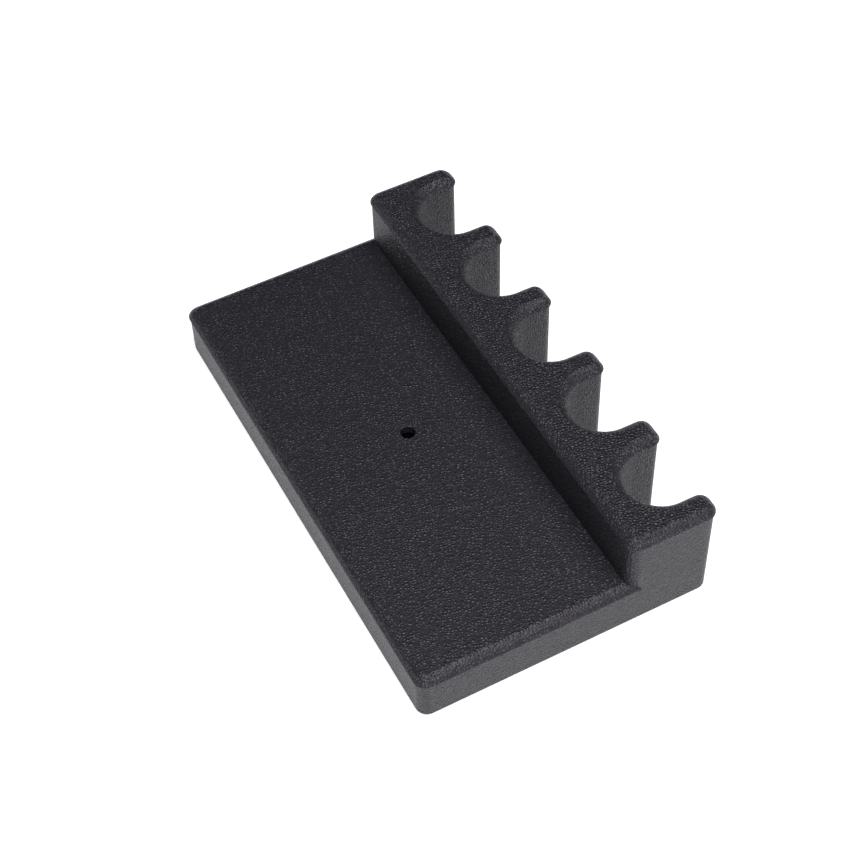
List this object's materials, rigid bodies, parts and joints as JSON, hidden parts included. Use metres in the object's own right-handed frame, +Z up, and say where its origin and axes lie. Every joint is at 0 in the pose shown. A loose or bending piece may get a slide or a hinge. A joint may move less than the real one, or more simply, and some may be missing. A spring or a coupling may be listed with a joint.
{
  "type": "billiard cue table rest",
  "caption": "Weighted table-top rest for billiard cues: a low flat platform with a raised bar at one long side, cut by round-ended open notches that cue shafts lean in.",
  "frame": {"origin": "middle of the footprint's bounding box, on the table surface under the pad", "axes": "+X along the row of notches, +Y from the flat front edge to the notched side, +Z up"},
  "size_m": [0.18, 0.106, 0.041],
  "materials": {
    "grained_plastic": "moulded leather grain, satin",
    "zinc_steel": "zinc plated",
    "ballast_steel": "hot-rolled, oiled",
    "pad_rubber": "matt",
    "adhesive_film": "matt"
  },
  "bodies": {
    "root": {"platform_cover": "grained_plastic", "bar_cover": "grained_plastic", "lower_casing": "grained_plastic", "centre_bush": "zinc_steel", "ballast_plate_lower": "ballast_steel", "ballast_plate_upper": "ballast_steel", "ballast_washers": "zinc_steel", "ballast_screws": "zinc_steel", "cover_screws": "zinc_steel", "base_pad": "pad_rubber", "pad_adhesive": "adhesive_film"}
  },
  "joints": []
}
